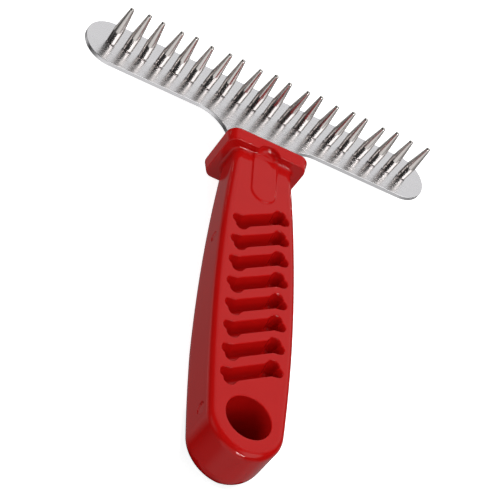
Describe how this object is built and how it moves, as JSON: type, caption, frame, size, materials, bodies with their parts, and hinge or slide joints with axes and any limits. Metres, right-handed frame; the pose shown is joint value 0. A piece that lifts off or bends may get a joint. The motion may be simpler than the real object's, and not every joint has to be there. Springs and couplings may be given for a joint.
{
  "type": "undercoat rake",
  "caption": "T-shaped grooming rake: one row of freely spinning blunt metal pins on a flat steel bar, with a moulded plastic handle, guard flange and hang hole.",
  "frame": {"origin": "below the middle of the whole rake, on the surface it lies on with its pins up", "axes": "+Z is the way the pins point, +Y runs from the handle's end to the head, +X runs along the row of pins"},
  "size_m": [0.132, 0.1635, 0.0288],
  "materials": {
    "handle_plastic": "glossy red moulded plastic",
    "plate_steel": "semi-gloss polished stainless sheet",
    "pin_steel": "polished nickel plate"
  },
  "bodies": {
    "rake_body": {"handle": "handle_plastic", "head_plate": "plate_steel"},
    "pin_01": {"pin_01": "pin_steel"},
    "pin_02": {"pin_02": "pin_steel"},
    "pin_03": {"pin_03": "pin_steel"},
    "pin_04": {"pin_04": "pin_steel"},
    "pin_05": {"pin_05": "pin_steel"},
    "pin_06": {"pin_06": "pin_steel"},
    "pin_07": {"pin_07": "pin_steel"},
    "pin_08": {"pin_08": "pin_steel"},
    "pin_09": {"pin_09": "pin_steel"},
    "pin_10": {"pin_10": "pin_steel"},
    "pin_11": {"pin_11": "pin_steel"},
    "pin_12": {"pin_12": "pin_steel"},
    "pin_13": {"pin_13": "pin_steel"},
    "pin_14": {"pin_14": "pin_steel"},
    "pin_15": {"pin_15": "pin_steel"},
    "pin_16": {"pin_16": "pin_steel"},
    "pin_17": {"pin_17": "pin_steel"},
    "pin_18": {"pin_18": "pin_steel"},
    "pin_19": {"pin_19": "pin_steel"},
    "pin_20": {"pin_20": "pin_steel"}
  },
  "joints": [
    {"name": "pin_01_spin", "type": "hinge", "parent": "rake_body", "child": "pin_01", "pos_m": [-0.057, 0.07175, 0.01155], "axis": [-0.0175, -0.0087, 0.9998], "continuous": true},
    {"name": "pin_02_spin", "type": "hinge", "parent": "rake_body", "child": "pin_02", "pos_m": [-0.051, 0.07175, 0.01155], "axis": [0.008, 0.0491, 0.9988], "continuous": true},
    {"name": "pin_03_spin", "type": "hinge", "parent": "rake_body", "child": "pin_03", "pos_m": [-0.045, 0.07175, 0.01155], "axis": [-0.0485, 0.0176, 0.9987], "continuous": true},
    {"name": "pin_04_spin", "type": "hinge", "parent": "rake_body", "child": "pin_04", "pos_m": [-0.039, 0.07175, 0.01155], "axis": [0.0158, -0.0033, 0.9999], "continuous": true},
    {"name": "pin_05_spin", "type": "hinge", "parent": "rake_body", "child": "pin_05", "pos_m": [-0.033, 0.07175, 0.01155], "axis": [-0.0161, 0.0495, 0.9986], "continuous": true},
    {"name": "pin_06_spin", "type": "hinge", "parent": "rake_body", "child": "pin_06", "pos_m": [-0.027, 0.07175, 0.01155], "axis": [-0.027, -0.017, 0.9995], "continuous": true},
    {"name": "pin_07_spin", "type": "hinge", "parent": "rake_body", "child": "pin_07", "pos_m": [-0.021, 0.07175, 0.01155], "axis": [0.0273, 0.0187, 0.9995], "continuous": true},
    {"name": "pin_08_spin", "type": "hinge", "parent": "rake_body", "child": "pin_08", "pos_m": [-0.015, 0.07175, 0.01155], "axis": [-0.0355, 0.023, 0.9991], "continuous": true},
    {"name": "pin_09_spin", "type": "hinge", "parent": "rake_body", "child": "pin_09", "pos_m": [-0.009, 0.07175, 0.01155], "axis": [0.0092, -0.0287, 0.9995], "continuous": true},
    {"name": "pin_10_spin", "type": "hinge", "parent": "rake_body", "child": "pin_10", "pos_m": [-0.003, 0.07175, 0.01155], "axis": [0.0124, 0.0336, 0.9994], "continuous": true},
    {"name": "pin_11_spin", "type": "hinge", "parent": "rake_body", "child": "pin_11", "pos_m": [0.003, 0.07175, 0.01155], "axis": [-0.0307, -0.0161, 0.9994], "continuous": true},
    {"name": "pin_12_spin", "type": "hinge", "parent": "rake_body", "child": "pin_12", "pos_m": [0.009, 0.07175, 0.01155], "axis": [0.036, -0.0146, 0.9992], "continuous": true},
    {"name": "pin_13_spin", "type": "hinge", "parent": "rake_body", "child": "pin_13", "pos_m": [0.015, 0.07175, 0.01155], "axis": [-0.0129, 0.0233, 0.9996], "continuous": true},
    {"name": "pin_14_spin", "type": "hinge", "parent": "rake_body", "child": "pin_14", "pos_m": [0.021, 0.07175, 0.01155], "axis": [-0.0011, -0.0437, 0.999], "continuous": true},
    {"name": "pin_15_spin", "type": "hinge", "parent": "rake_body", "child": "pin_15", "pos_m": [0.027, 0.07175, 0.01155], "axis": [0.0369, 0.0076, 0.9993], "continuous": true},
    {"name": "pin_16_spin", "type": "hinge", "parent": "rake_body", "child": "pin_16", "pos_m": [0.033, 0.07175, 0.01155], "axis": [-0.0245, -0.0106, 0.9996], "continuous": true},
    {"name": "pin_17_spin", "type": "hinge", "parent": "rake_body", "child": "pin_17", "pos_m": [0.039, 0.07175, 0.01155], "axis": [0.0343, -0.0446, 0.9984], "continuous": true},
    {"name": "pin_18_spin", "type": "hinge", "parent": "rake_body", "child": "pin_18", "pos_m": [0.045, 0.07175, 0.01155], "axis": [0.0153, 0.0142, 0.9998], "continuous": true},
    {"name": "pin_19_spin", "type": "hinge", "parent": "rake_body", "child": "pin_19", "pos_m": [0.051, 0.07175, 0.01155], "axis": [-0.0091, -0.0481, 0.9988], "continuous": true},
    {"name": "pin_20_spin", "type": "hinge", "parent": "rake_body", "child": "pin_20", "pos_m": [0.057, 0.07175, 0.01155], "axis": [0.0523, -0.0247, 0.9983], "continuous": true}
  ]
}
